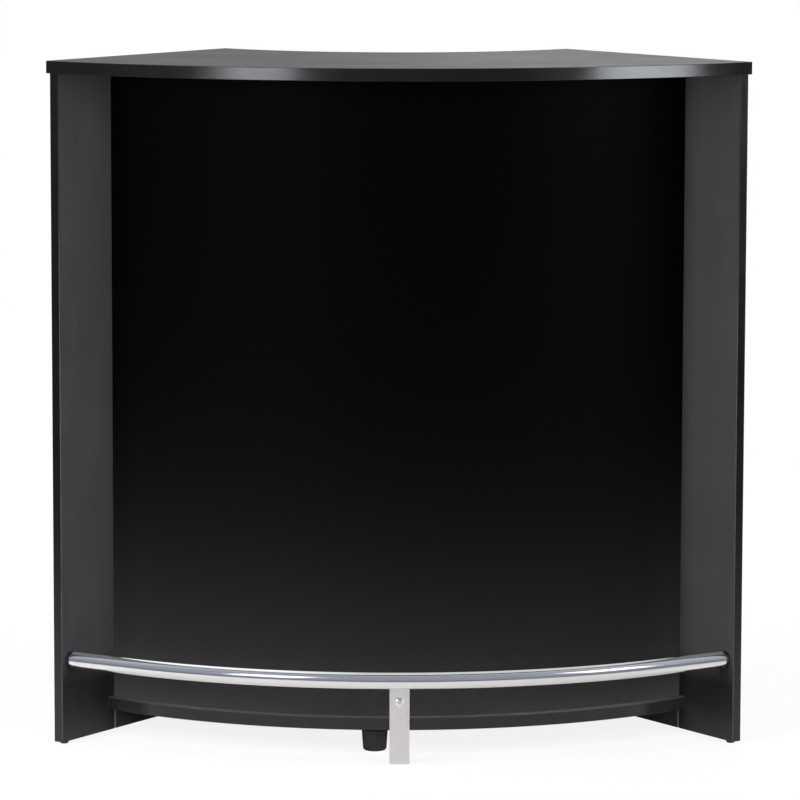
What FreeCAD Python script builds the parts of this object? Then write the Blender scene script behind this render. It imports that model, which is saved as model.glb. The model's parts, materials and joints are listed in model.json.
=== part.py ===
import FreeCAD, Part
import os
from math import asin, atan2, cos, degrees, hypot, pi, radians, sin, sqrt
from FreeCAD import Vector

# Curved bar counter with shelves behind a bowed front, in millimetres.
# The front faces -Y and +Z is up. The origin is on the floor, under the middle of the
# counter's box. Seen from above, the boards follow arcs about one centre behind the
# counter, and each side follows a line set outward from a radius of those arcs.

# Overall form
overall_height = 1048.0
front_radius = 822.0         # worktop's front edge
worktop_depth = 451.0        # between the worktop's front and back arcs
side_angle = 35.0            # degrees between the centre line and each side
side_offset = 77.0           # worktop's side edge, outward from the radius beside it
overhang = 4.0               # worktop past the side panels

# Boards
worktop_thickness = 19.0
panel_thickness = 16.0
bottom_shelf_thickness = 19.0
shelf_thickness = 16.0
bottom_shelf_clear = 37.0    # floor to the bottom shelf's underside
lower_shelf_top = 386.0
upper_shelf_top = 708.0
bottom_shelf_setback = 12.0  # shelf's back edge, in front of the worktop's back edge
shelf_setback = 34.0
band = 1.0                   # edging glued on the boards' cut edges
band_round = 0.7
glue_line = 0.2

# Bowed front panel, held in grooves all round
front_setback = 134.0        # worktop's front edge to the panel's face
front_thickness = 3.2
groove_depth = 5.0
groove_fit = 0.3
shelf_lip = 15.0             # bottom shelf in front of the panel's face

# Foot rail and its support
rail_setback = 34.0          # worktop's front edge to the rail's centre line
rail_height = 130.0
rail_diameter = 25.0
rail_wall = 1.5
rail_straight = 120.0        # each end of the rail, past its bend
plug_rim = 7.0               # dark collar between the tube's end and the side panel
plug_length = 18.0
plug_fit = 0.15
bar_width = 30.0
bar_thickness = 4.0
bar_rise = 6.0               # bar's top above the rail's centre
bar_corner = 2.0
rail_to_bar = 0.3
arm_width = 25.0
arm_thickness = 3.0
arm_under_shelf = 122.0
arm_rise = 12.0              # arm's top above the bracket screw
arm_bend = 4.0               # outer radius
arm_screw_inset = 28.0       # from the shelf's front edge, and from the arm's end
bracket_screw_drop = 35.5    # below the rail's centre

# Levelling foot and floor glides
foot_aside = 36.0            # left of the centre line
foot_inset = 14.0            # behind the bottom shelf's front edge
foot_top_diameter = 40.0
foot_base_diameter = 36.0
foot_height = 33.0
foot_round = 4.0
stem_diameter = 8.0
stem_in_foot = 20.0
stem_in_shelf = 10.0         # leaves room to screw the foot in, and thread to screw it out
stem_fit = 0.08
insert_diameter = 12.0
insert_length = 16.0
insert_flange_diameter = 22.0
insert_flange = 1.2
insert_fit = 0.1
glide_height = 4.0
glide_diameter = 14.0
glide_inset = 14.0           # centre from the panel's end
glide_round = 1.5
peg_diameter = 5.0
peg_length = 10.0

# Knock-down fittings
cam_diameter = 15.0
cam_height = 12.4
cam_reach = 24.0             # cam's centre from the joint face
cam_slot_width = 2.0
cam_slot_length = 9.0
cam_slot_depth = 2.5
bolt_diameter = 6.0
bolt_head_diameter = 7.0
bolt_head_length = 3.0
bolt_thread_diameter = 5.0
bolt_thread_length = 11.0
dowel_diameter = 8.0
dowel_length = 30.0
dowel_in_panel = 11.0
dowel_step = 32.0            # dowel from the cam beside it
joint_inset = 62.0           # outermost cams from the board's ends
fitting_fit = 0.1            # round the fittings in their holes
cap_diameter = 17.0
cap_thickness = 1.2

# Screws
bracket_screw_diameter = 6.0
bracket_head_diameter = 13.0
bracket_head_height = 3.6
nut_sides = 6
nut_across_flats = 10.0
nut_height = 5.0
rail_screw_diameter = 4.8
rail_screw_length = 11.0
rail_screw_head_diameter = 9.5
rail_screw_head_height = 3.0
wood_screw_diameter = 4.0
wood_screw_length = 16.0
end_screw_diameter = 4.5
end_screw_length = 34.0
countersunk_ratio = 1.9      # head's width over the screw's diameter
recess_width = 1.1
recess_depth = 1.6
recess_share = 0.55          # recess's length over the head's width
dome_share = 0.6             # rounding over the head's height

# Values that follow from the sizes above
sin_side = sin(radians(side_angle))
cos_side = cos(radians(side_angle))
up = Vector(0, 0, 1)
down = Vector(0, 0, -1)
back_radius = front_radius - worktop_depth
back_corner = sqrt(back_radius ** 2 - side_offset ** 2)
arc_y = (front_radius + back_corner * cos_side - side_offset * sin_side) / 2
skin = band + glue_line      # edging and its glue
beyond = 2 * front_radius    # reach of the blocks that trim the rail
nearly = 0.001
panel_out = side_offset - overhang
panel_in = panel_out - panel_thickness
panel_mid = (panel_out + panel_in) / 2
panel_front = sqrt((front_radius - overhang) ** 2 - panel_out ** 2)
panel_back = sqrt(back_radius ** 2 - panel_in ** 2) + overhang
panel_top = overall_height - worktop_thickness
face_radius = front_radius - front_setback
inner_radius = face_radius - front_thickness
bottom_shelf_top = bottom_shelf_clear + bottom_shelf_thickness
bottom_front_radius = face_radius + shelf_lip
shelf_front_radius = inner_radius - groove_fit
rail_radius = front_radius - rail_setback
rail_reach = hypot(rail_radius, rail_straight)
rail_along = sqrt(rail_reach ** 2 - panel_in ** 2)
rail_bend = radians(side_angle) + asin(panel_in / rail_reach) - atan2(rail_straight, rail_radius)
bar_y = arc_y - rail_radius + rail_diameter / 2 + rail_to_bar
arm_y = bar_y + bar_thickness
bracket_screw_z = rail_height - bracket_screw_drop
sides = {"left": -1, "right": 1}


def along_line(radius, out):
    # where a circle about the arc centre crosses a side line
    return sqrt(radius ** 2 - out ** 2)


def at(side, along, out, z=0.0):
    # a point given by its distance along a side and outward from it
    x = side * (along * sin_side + out * cos_side)
    return Vector(x, arc_y - along * cos_side + out * sin_side, z)


def outward(side):
    return Vector(side * cos_side, sin_side, 0)


def inward(side):
    return outward(side) * -1


def along_of(side, point):
    return side * point.x * sin_side + (arc_y - point.y) * cos_side


def out_of(side, point):
    return side * point.x * cos_side - (arc_y - point.y) * sin_side


def plate(side, along_from, along_to, out_from, out_to, z_from, z_to):
    # a straight board beside a side line
    corners = [
        at(side, along_from, out_from, z_from),
        at(side, along_to, out_from, z_from),
        at(side, along_to, out_to, z_from),
        at(side, along_from, out_to, z_from),
    ]
    return Part.Face(Part.makePolygon(corners + corners[:1])).extrude(up * (z_to - z_from))


def sector(front, back, out, z_from, z_to):
    # a board between two arcs and the two side lines
    def corner(side, radius):
        return at(side, along_line(radius, out), out, z_from)

    def arc(start, radius, end):
        return Part.Arc(start, Vector(0, arc_y - radius, z_from), end).toShape()

    edges = [
        arc(corner(-1, front), front, corner(1, front)),
        Part.makeLine(corner(1, front), corner(1, back)),
        arc(corner(1, back), back, corner(-1, back)),
        Part.makeLine(corner(-1, back), corner(-1, front)),
    ]
    return Part.Face(Part.Wire(edges)).extrude(up * (z_to - z_from))


def rod(point, direction, diameter, length):
    return Part.makeCylinder(diameter / 2, length, point, direction)


def swept(face, half_turn):
    # a section at the front of the counter, turned about the arc centre both ways
    centre = Vector(0, arc_y, 0)
    face.rotate(centre, up, -half_turn)
    return face.revolve(centre, up, 2 * half_turn)


def arc_band(shown, hidden, out, z_from, z_to):
    # edging on an arc, with the two long corners of its shown face rounded
    inset = band_round if shown > hidden else -band_round
    bulge = 1 - sqrt(0.5)

    def point(radius, z):
        return Vector(0, arc_y - radius, z)

    def corner(z, rise):
        return Part.Arc(point(shown - inset, z), point(shown - bulge * inset, z + bulge * rise),
                        point(shown, z + rise)).toShape()

    edges = [
        Part.makeLine(point(hidden, z_from), point(shown - inset, z_from)),
        corner(z_from, band_round),
        Part.makeLine(point(shown, z_from + band_round), point(shown, z_to - band_round)),
        corner(z_to, -band_round),
        Part.makeLine(point(shown - inset, z_to), point(hidden, z_to)),
        Part.makeLine(point(hidden, z_to), point(hidden, z_from)),
    ]
    return swept(Part.Face(Part.Wire(edges)), side_angle + degrees(asin(out / max(shown, hidden))))


def round_straight(shape, value, wanted, direction):
    # round the edges that run along a direction and lie where value gives wanted
    edges = []
    for e in shape.Edges:
        run = e.Vertexes[-1].Point - e.Vertexes[0].Point
        runs_along = run.Length > band and abs(run.normalize().dot(direction)) > 1 - nearly
        if runs_along and abs(value(e.CenterOfMass) - wanted) < nearly:
            edges.append(e)
    return shape.makeFillet(band_round, edges)


def cross_recess(point, direction, head_diameter):
    # a cross sunk into a screw head, from the head's outer face
    length = head_diameter * recess_share
    long_way = Part.makeBox(length, recess_width, recess_depth,
                            Vector(-length / 2, -recess_width / 2, 0))
    short_way = Part.makeBox(recess_width, length, recess_depth,
                             Vector(-recess_width / 2, -length / 2, 0))
    cross = long_way.fuse(short_way)
    cross.Placement = FreeCAD.Placement(point, FreeCAD.Rotation(up, direction))
    return cross


def countersunk(point, direction, diameter, extra=0.0):
    # a countersunk head that narrows from the surface at point along direction
    head = diameter * countersunk_ratio / 2 + extra
    neck = diameter / 2 + extra
    return Part.makeCone(head, neck, head - neck, point, direction)


def flat_head_screw(point, direction, diameter, length):
    screw = rod(point, direction, diameter, length)
    screw = screw.fuse(countersunk(point, direction, diameter))
    return screw.cut(cross_recess(point, direction, diameter * countersunk_ratio))


def flat_head_hole(point, direction, diameter, length):
    hole = rod(point, direction, diameter + 2 * fitting_fit, length + fitting_fit)
    return hole.fuse(countersunk(point, direction, diameter, fitting_fit))


def domed_screw(point, direction, diameter, length, head_diameter, head_height):
    # a screw whose head's underside is at point, with its shank along direction
    head = Part.makeCylinder(head_diameter / 2, head_height, point, direction * -1)
    rim = [e for e in head.Edges if (e.CenterOfMass - point).dot(direction) < -head_height / 2]
    rim = [e for e in rim if isinstance(e.Curve, Part.Circle)]
    head = head.makeFillet(head_height * dome_share, rim)
    head = head.cut(cross_recess(point - direction * head_height, direction, head_diameter))
    return head.fuse(rod(point, direction, diameter, length))


# Knock-down joints: a bolt in the outer board, a cam in the inner one and a dowel

def cam_joint(face_point, direction, cam_face, cam_axis):
    # face_point is on the joint, direction points into the board with the cam,
    # cam_face is the cam's outer face and cam_axis points into the board from it
    thread = rod(face_point, direction * -1, bolt_thread_diameter, bolt_thread_length)
    reach = cam_reach - bolt_head_length / 2
    shank = rod(face_point, direction, bolt_diameter, reach)
    head = rod(face_point + direction * reach, direction, bolt_head_diameter, bolt_head_length)
    bolt = thread.fuse([shank, head])
    bolt_way = rod(face_point, direction, bolt_head_diameter + 2 * fitting_fit,
                   cam_reach + bolt_head_length)
    cam = rod(cam_face, cam_axis, cam_diameter, cam_height)
    slot = Part.makeBox(cam_slot_length, cam_slot_width, cam_slot_depth,
                        Vector(-cam_slot_length / 2, -cam_slot_width / 2, 0))
    slot.Placement = FreeCAD.Placement(cam_face, FreeCAD.Rotation(up, cam_axis))
    cam = cam.cut(slot).cut(bolt_way)
    cam_hole = rod(cam_face, cam_axis, cam_diameter + 2 * fitting_fit, cam_height + fitting_fit)
    thread_hole = rod(face_point, direction * -1, bolt_thread_diameter + 2 * fitting_fit,
                      bolt_thread_length + fitting_fit)
    return {"bolt": bolt, "cam": cam, "outer": thread_hole, "inner": bolt_way.fuse(cam_hole)}


def dowel_joint(face_point, direction):
    # direction points into the board that takes the dowel's longer end
    start = face_point - direction * dowel_in_panel
    dowel = rod(start, direction, dowel_diameter, dowel_length)
    hole = rod(start - direction * fitting_fit, direction, dowel_diameter + 2 * fitting_fit,
               dowel_length + 2 * fitting_fit)
    return {"dowel": dowel, "hole": hole}


fittings = {"cam_locks": [], "cam_bolts": [], "dowels": [], "cam_caps": []}
panel_cuts = {name: [] for name in sides}
worktop_cuts = []


def shelf_joints(top, thickness, front, back):
    # cams under the shelf's ends, bolts and dowels square to the side panels
    cuts = []
    front_end = along_line(front, panel_in) - joint_inset
    back_end = along_line(back, panel_in) + joint_inset
    for name, side in sides.items():
        into_shelf = inward(side)
        middle = top - thickness / 2
        for along in (front_end, back_end):
            cam_face = at(side, along, panel_in - cam_reach, top - thickness)
            joint = cam_joint(at(side, along, panel_in, middle), into_shelf, cam_face, up)
            fittings["cam_bolts"].append(joint["bolt"])
            fittings["cam_locks"].append(joint["cam"])
            panel_cuts[name].append(joint["outer"])
            cuts.append(joint["inner"])
        for along in (front_end - dowel_step, back_end + dowel_step):
            joint = dowel_joint(at(side, along, panel_in, middle), into_shelf)
            fittings["dowels"].append(joint["dowel"])
            panel_cuts[name].append(joint["hole"])
            cuts.append(joint["hole"])
    return cuts


def worktop_joints():
    # cams in the side panels' inner faces, under caps, with bolts up into the worktop
    front_end = along_line(inner_radius, panel_in) - joint_inset
    back_end = panel_back + joint_inset
    for name, side in sides.items():
        for along in (front_end, back_end):
            cam_face = at(side, along, panel_in, panel_top - cam_reach)
            joint = cam_joint(at(side, along, panel_mid, panel_top), down, cam_face, outward(side))
            fittings["cam_bolts"].append(joint["bolt"])
            fittings["cam_locks"].append(joint["cam"])
            fittings["cam_caps"].append(rod(cam_face, inward(side), cap_diameter, cap_thickness))
            worktop_cuts.append(joint["outer"])
            panel_cuts[name].append(joint["inner"])
        for along in (front_end - dowel_step, back_end + dowel_step):
            joint = dowel_joint(at(side, along, panel_mid, panel_top), down)
            fittings["dowels"].append(joint["dowel"])
            panel_cuts[name].append(joint["hole"])
            worktop_cuts.append(joint["hole"])


def groove(z_from, z_to, out):
    return sector(face_radius + groove_fit, inner_radius - groove_fit, out, z_from, z_to)


# Shelves

def core(front, back, out, z_from, z_to, front_banded=True):
    return sector(front - skin if front_banded else front, back + skin, out, z_from, z_to)


def make_bottom_shelf(nodes):
    back = back_radius + bottom_shelf_setback
    board = core(bottom_front_radius, back, panel_in, bottom_shelf_clear, bottom_shelf_top)
    cuts = shelf_joints(bottom_shelf_top, bottom_shelf_thickness, bottom_front_radius, back)
    cuts.append(groove(bottom_shelf_top - groove_depth, bottom_shelf_top, panel_in))
    cuts.append(rod(foot_point(bottom_shelf_clear), up, insert_diameter + 2 * insert_fit,
                    insert_length + insert_fit))
    for point in arm_screw_points():
        cuts.append(rod(point, up, wood_screw_diameter + 2 * fitting_fit,
                        wood_screw_length + fitting_fit))
    nodes["bottom_shelf"] = board.cut(cuts)
    z_span = (bottom_shelf_clear, bottom_shelf_top)
    nodes["bottom_shelf_front_edging"] = arc_band(
        bottom_front_radius, bottom_front_radius - band, panel_in, *z_span)
    nodes["bottom_shelf_back_edging"] = arc_band(back, back + band, panel_in, *z_span)


def make_shelf(nodes, name, top):
    back = back_radius + shelf_setback
    board = core(shelf_front_radius, back, panel_in, top - shelf_thickness, top, front_banded=False)
    cuts = shelf_joints(top, shelf_thickness, shelf_front_radius, back)
    nodes[name] = board.cut(cuts)
    nodes[name + "_edging"] = arc_band(back, back + band, panel_in, top - shelf_thickness, top)


# Worktop, side panels and front panel

def make_worktop(nodes):
    # the straight edging runs past the ends of the bent edging
    z_span = (panel_top, overall_height)
    bent_out = side_offset - skin
    board = core(front_radius, back_radius, bent_out, *z_span)
    groove_top = panel_top + groove_depth
    worktop_cuts.append(groove(panel_top, groove_top, panel_in + groove_depth))
    nodes["worktop"] = board.cut(worktop_cuts)
    nodes["worktop_front_edging"] = arc_band(front_radius, front_radius - band, bent_out, *z_span)
    nodes["worktop_back_edging"] = arc_band(back_radius, back_radius + band, bent_out, *z_span)
    for name, side in sides.items():
        strip = plate(side, along_line(back_radius, side_offset), along_line(front_radius, side_offset),
                      side_offset - band, side_offset, *z_span)
        run = at(side, 1, 0) - at(side, 0, 0)
        nodes["worktop_" + name + "_edging"] = round_straight(
            strip, lambda point, side=side: out_of(side, point), side_offset, run)


def make_side_panel(nodes, name, side):
    z_span = (glide_height, panel_top)
    board = plate(side, panel_back + skin, panel_front - skin, panel_in, panel_out, *z_span)
    cuts = panel_cuts[name]
    cuts.append(groove(glide_height, panel_top, panel_in + groove_depth))
    for along in glide_places():
        cuts.append(rod(at(side, along, panel_mid, glide_height), up, peg_diameter + 2 * fitting_fit,
                        peg_length + fitting_fit))
    cuts.append(flat_head_hole(at(side, rail_along, panel_out, rail_height), inward(side),
                               end_screw_diameter, end_screw_length))
    nodes[name + "_side_panel"] = board.cut(cuts)
    ends = {"front": (panel_front - band, panel_front, panel_front),
            "back": (panel_back, panel_back + band, panel_back)}
    for end, (start, stop, shown) in ends.items():
        strip = plate(side, start, stop, panel_in, panel_out, *z_span)
        nodes[name + "_" + end + "_edging"] = round_straight(
            strip, lambda point, side=side: along_of(side, point), shown, up)


def make_front_panel(nodes):
    nodes["front_panel"] = sector(
        face_radius, inner_radius, panel_in + groove_depth - groove_fit,
        bottom_shelf_top - groove_depth + groove_fit, panel_top + groove_depth - groove_fit)


# Foot rail

def bent_rod(diameter, out):
    # a round bar along the rail's bend and its straight ends, cut off in line with the side panels
    middle = Vector(0, arc_y - rail_radius, rail_height)
    circle = Part.makeCircle(diameter / 2, middle, Vector(1, 0, 0))
    bend = swept(Part.Face(Part.Wire(circle)), degrees(rail_bend))
    tails = []
    trims = []
    for side in sides.values():
        start = Vector(side * rail_radius * sin(rail_bend), arc_y - rail_radius * cos(rail_bend), rail_height)
        run = Vector(side * cos(rail_bend), sin(rail_bend), 0)
        tails.append(rod(start, run, diameter, rail_straight + rail_diameter))
        trims.append(plate(side, 0, beyond, out, beyond, 0, overall_height))
    return bend.fuse(tails).cut(trims)


def make_rail(nodes):
    rail_end = panel_in - plug_rim
    bore = rail_diameter - 2 * rail_wall
    tube = bent_rod(rail_diameter, rail_end).cut(bent_rod(bore, panel_in))
    screw_hole = rod(Vector(0, bar_y, rail_height), Vector(0, -1, 0),
                     rail_screw_diameter + 2 * fitting_fit, rail_diameter / 2)
    nodes["foot_rail"] = tube.cut(screw_hole)
    rim = bent_rod(rail_diameter, panel_in)
    spigot = bent_rod(bore - 2 * plug_fit, panel_in)
    screws = []
    for name, side in sides.items():
        rim_zone = plate(side, 0, beyond, rail_end, panel_in, 0, overall_height)
        spigot_zone = plate(side, 0, beyond, rail_end - plug_length, panel_in, 0, overall_height)
        plug = rim.common(rim_zone).fuse(spigot.common(spigot_zone)).removeSplitter()
        head = at(side, rail_along, panel_out, rail_height)
        hole = flat_head_hole(head, inward(side), end_screw_diameter, end_screw_length)
        nodes[name + "_rail_plug"] = plug.cut(hole)
        screws.append(flat_head_screw(head, inward(side), end_screw_diameter, end_screw_length))
    nodes["rail_end_screws"] = Part.makeCompound(screws)


def arm_screw_points():
    shelf_front = arc_y - bottom_front_radius
    arm_end = shelf_front + arm_under_shelf
    for y in (shelf_front + arm_screw_inset, arm_end - arm_screw_inset):
        yield Vector(0, y, bottom_shelf_clear - arm_thickness)


def make_rail_support(nodes):
    forward = Vector(0, -1, 0)
    backward = Vector(0, 1, 0)
    bar = Part.makeBox(bar_width, bar_thickness, rail_height + bar_rise,
                       Vector(-bar_width / 2, bar_y, 0))
    corners = [e for e in bar.Edges if abs(e.tangentAt(e.FirstParameter).y) > 1 - nearly]
    bar = bar.makeFillet(bar_corner, corners)
    bracket_front = Vector(0, bar_y, bracket_screw_z)
    rail_screw_seat = Vector(0, bar_y + bar_thickness, rail_height)
    bar = bar.cut([
        rod(bracket_front, backward, bracket_screw_diameter + 2 * fitting_fit, bar_thickness),
        rod(rail_screw_seat, forward, rail_screw_diameter + 2 * fitting_fit, bar_thickness),
    ])
    nodes["rail_support_bar"] = bar

    low = bottom_shelf_clear - arm_thickness
    arm_end = arc_y - bottom_front_radius + arm_under_shelf
    high = bracket_screw_z + arm_rise
    inner = (arm_y + arm_thickness, bottom_shelf_clear)
    outline = [(arm_y, low), (arm_end, low), (arm_end, bottom_shelf_clear), inner,
               (arm_y + arm_thickness, high), (arm_y, high)]
    points = [Vector(-arm_width / 2, y, z) for y, z in outline]
    arm = Part.Face(Part.makePolygon(points + points[:1])).extrude(Vector(arm_width, 0, 0))
    bends = {(arm_y, low): arm_bend, inner: arm_bend - arm_thickness}
    for (y, z), radius in bends.items():
        edges = [e for e in arm.Edges
                 if abs(e.CenterOfMass.y - y) + abs(e.CenterOfMass.z - z) < nearly]
        arm = arm.makeFillet(radius, edges)
    arm_cuts = [flat_head_hole(point, up, wood_screw_diameter, wood_screw_length)
                for point in arm_screw_points()]
    arm_cuts.append(rod(Vector(0, arm_y, bracket_screw_z), backward,
                        bracket_screw_diameter + 2 * fitting_fit, arm_thickness))
    nodes["support_arm"] = arm.cut(arm_cuts)
    nodes["arm_screws"] = Part.makeCompound([
        flat_head_screw(point, up, wood_screw_diameter, wood_screw_length)
        for point in arm_screw_points()])

    bracket_screw_length = bar_thickness + arm_thickness + nut_height
    nodes["bracket_screw"] = domed_screw(
        bracket_front, backward, bracket_screw_diameter, bracket_screw_length,
        bracket_head_diameter, bracket_head_height)
    nut_seat = Vector(0, arm_y + arm_thickness, bracket_screw_z)
    corner_reach = nut_across_flats / 2 / cos(pi / nut_sides)
    turns = [2 * pi * i / nut_sides for i in range(nut_sides + 1)]
    outline = [nut_seat + Vector(cos(turn), 0, sin(turn)) * corner_reach for turn in turns]
    nut = Part.Face(Part.makePolygon(outline)).extrude(backward * nut_height)
    nut_bore = rod(nut_seat, backward, bracket_screw_diameter + 2 * fitting_fit, nut_height)
    nodes["bracket_nut"] = nut.cut(nut_bore)
    nodes["rail_screw"] = domed_screw(rail_screw_seat, forward, rail_screw_diameter, rail_screw_length,
                                      rail_screw_head_diameter, rail_screw_head_height)


# Levelling foot and glides

def foot_point(z):
    reach = bottom_front_radius - foot_inset - foot_top_diameter / 2
    return Vector(-foot_aside, arc_y - sqrt(reach ** 2 - foot_aside ** 2), z)


def make_foot(nodes):
    flange_low = bottom_shelf_clear - insert_flange
    body = Part.makeCone(foot_base_diameter / 2, foot_top_diameter / 2, foot_height, foot_point(0), up)
    base = [e for e in body.Edges
            if e.CenterOfMass.z < foot_height / 2 and isinstance(e.Curve, Part.Circle)]
    body = body.makeFillet(foot_round, base)
    stem_low = foot_height - stem_in_foot
    stem_length = bottom_shelf_clear + stem_in_shelf - stem_low
    nodes["levelling_foot"] = body.cut(rod(foot_point(stem_low), up, stem_diameter, stem_in_foot))
    nodes["foot_stem"] = rod(foot_point(stem_low), up, stem_diameter, stem_length)
    sleeve = rod(foot_point(bottom_shelf_clear), up, insert_diameter, insert_length)
    flange = rod(foot_point(flange_low), up, insert_flange_diameter, insert_flange)
    bore = rod(foot_point(flange_low), up, stem_diameter + 2 * stem_fit, insert_flange + insert_length)
    nodes["foot_insert"] = sleeve.fuse(flange).cut(bore)


def glide_places():
    return (panel_front - glide_inset, panel_back + glide_inset)


def make_glides(nodes):
    glides = []
    for side in sides.values():
        for along in glide_places():
            pad = rod(at(side, along, panel_mid), up, glide_diameter, glide_height)
            rim = [e for e in pad.Edges
                   if e.CenterOfMass.z < glide_height / 2 and isinstance(e.Curve, Part.Circle)]
            pad = pad.makeFillet(glide_round, rim)
            peg = rod(at(side, along, panel_mid, glide_height), up, peg_diameter, peg_length)
            glides.append(pad.fuse(peg))
    nodes["floor_glides"] = Part.makeCompound(glides)


def main():
    nodes = {}
    make_bottom_shelf(nodes)
    make_shelf(nodes, "lower_shelf", lower_shelf_top)
    make_shelf(nodes, "upper_shelf", upper_shelf_top)
    worktop_joints()
    make_worktop(nodes)
    for name, side in sides.items():
        make_side_panel(nodes, name, side)
    make_front_panel(nodes)
    make_rail(nodes)
    make_rail_support(nodes)
    make_foot(nodes)
    make_glides(nodes)
    for name, solids in fittings.items():
        nodes[name] = Part.makeCompound(solids)

    os.makedirs("parts", exist_ok=True)
    for name, shape in nodes.items():
        shape.exportStep("parts/" + name + ".step")
        print(name, len(shape.Solids), "solids", round(shape.Volume), "mm3", shape.isValid())
    whole = Part.makeCompound(list(nodes.values())).optimalBoundingBox()
    print("box", round(whole.XLength, 1), round(whole.YLength, 1), round(whole.ZLength, 1))
    print("low corner", round(whole.XMin, 2), round(whole.YMin, 2), round(whole.ZMin, 2))


main()
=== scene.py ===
import json
import math

import bmesh
import bpy
import numpy as np
from mathutils import Matrix, Vector


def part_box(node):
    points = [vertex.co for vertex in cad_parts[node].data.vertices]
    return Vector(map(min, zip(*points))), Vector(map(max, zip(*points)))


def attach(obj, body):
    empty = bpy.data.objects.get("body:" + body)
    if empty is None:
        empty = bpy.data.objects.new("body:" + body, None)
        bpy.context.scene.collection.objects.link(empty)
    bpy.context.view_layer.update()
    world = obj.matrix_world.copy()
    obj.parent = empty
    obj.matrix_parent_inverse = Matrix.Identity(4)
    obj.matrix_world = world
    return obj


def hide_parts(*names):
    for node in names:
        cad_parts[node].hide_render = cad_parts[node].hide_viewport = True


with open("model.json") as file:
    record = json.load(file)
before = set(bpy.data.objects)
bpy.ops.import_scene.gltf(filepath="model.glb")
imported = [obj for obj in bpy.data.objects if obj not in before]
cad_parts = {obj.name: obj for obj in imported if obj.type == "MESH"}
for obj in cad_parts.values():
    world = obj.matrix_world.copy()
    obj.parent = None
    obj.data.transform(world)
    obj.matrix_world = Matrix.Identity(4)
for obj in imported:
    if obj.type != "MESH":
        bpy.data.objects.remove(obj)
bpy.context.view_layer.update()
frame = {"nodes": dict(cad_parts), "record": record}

scene = bpy.context.scene
print("frame loaded,", len(frame["nodes"]), "nodes")

# Plan of the counter, in metres: all arcs share one centre behind it, and each side
# follows a line set outward from a radius of those arcs.
plan = dict(frontRadius=0.822, sideAngle=math.radians(35), panelIn=0.057, panelOut=0.073,
            grooveFront=0.6883, grooveBack=0.6845)
sinSide, cosSide = math.sin(plan["sideAngle"]), math.cos(plan["sideAngle"])
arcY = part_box("worktop_front_edging")[0].y + plan["frontRadius"]
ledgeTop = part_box("bottom_shelf")[1].z
sides = (-1, 1)


def sidePoint(side, along, out, z):
    # a place given by its distance along a side line and outward from it
    return np.array([side * (along * sinSide + out * cosSide), arcY - along * cosSide + out * sinSide, z])


def sideAlong(y, out):
    # the distance along a side line of a place with this y and this distance outward
    return (arcY - y + out * sinSide) / cosSide


def inward(side):
    return np.array([-side * cosSide, -sinSide, 0.0])


# Node helpers for the finishes

def bareTree(holder):
    holder.use_nodes = True
    holder.node_tree.nodes.clear()
    return holder.node_tree


def showShader(tree, socket, kind="ShaderNodeOutputMaterial"):
    output = tree.nodes.new(kind)
    tree.links.new(socket, output.inputs["Surface"])


def startFinish(name):
    finish = bpy.data.materials.new(name)
    tree = bareTree(finish)
    shader = tree.nodes.new("ShaderNodeBsdfPrincipled")
    showShader(tree, shader.outputs["BSDF"])
    return finish, tree, shader


def feed(tree, socket, value):
    # a socket takes another node's output, or a plain value
    if isinstance(value, bpy.types.NodeSocket):
        tree.links.new(value, socket)
    else:
        socket.default_value = value


def objectCoords(tree):
    return tree.nodes.new("ShaderNodeTexCoord").outputs["Object"]


def axesOf(tree, coords):
    split = tree.nodes.new("ShaderNodeSeparateXYZ")
    feed(tree, split.inputs[0], coords)
    return split.outputs["X"], split.outputs["Y"], split.outputs["Z"]


def maths(tree, operation, first, second=0.0, third=0.0, clamp=False):
    step = tree.nodes.new("ShaderNodeMath")
    step.operation = operation
    step.use_clamp = clamp
    for socket, value in zip(step.inputs, (first, second, third)):
        feed(tree, socket, value)
    return step.outputs[0]


def product(tree, *factors):
    result = factors[0]
    for factor in factors[1:]:
        result = maths(tree, "MULTIPLY", result, factor)
    return result


def twoParts(tree, first, second, share):
    # both values added up, with a fixed share for the second
    return maths(tree, "ADD", product(tree, first, 1 - share), product(tree, second, share))


def planCoords(tree, coords):
    # a point's place in the plan: across and ahead of the arcs' centre, and outward from its side's line
    x, y, z = axesOf(tree, coords)
    across = maths(tree, "ABSOLUTE", x)
    ahead = maths(tree, "SUBTRACT", arcY, y)
    out = maths(tree, "SUBTRACT", product(tree, across, cosSide), product(tree, ahead, sinSide))
    return dict(x=x, z=z, across=across, ahead=ahead, out=out)


def fromCentre(tree, spot):
    # the root of across squared plus ahead squared
    squares = [product(tree, spot[way], spot[way]) for way in ("across", "ahead")]
    return maths(tree, "SQRT", maths(tree, "ADD", *squares))


def noise(tree, coords, scale, detail, roughness=0.55):
    texture = tree.nodes.new("ShaderNodeTexNoise")
    feed(tree, texture.inputs["Vector"], coords)
    texture.inputs["Scale"].default_value = scale
    texture.inputs["Detail"].default_value = detail
    texture.inputs["Roughness"].default_value = roughness
    return texture.outputs["Fac"]


def grained(tree, coords, stretch, detail, roughness=0.55):
    # noise with a scale of its own along each axis
    mapping = tree.nodes.new("ShaderNodeMapping")
    feed(tree, mapping.inputs["Vector"], coords)
    mapping.inputs["Scale"].default_value = stretch
    return noise(tree, mapping.outputs["Vector"], 1.0, detail, roughness)


def remap(tree, value, low, high, toLow, toHigh):
    ranged = tree.nodes.new("ShaderNodeMapRange")
    feed(tree, ranged.inputs["Value"], value)
    for key, number in (("From Min", low), ("From Max", high), ("To Min", toLow), ("To Max", toHigh)):
        ranged.inputs[key].default_value = number
    return ranged.outputs["Result"]


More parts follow.
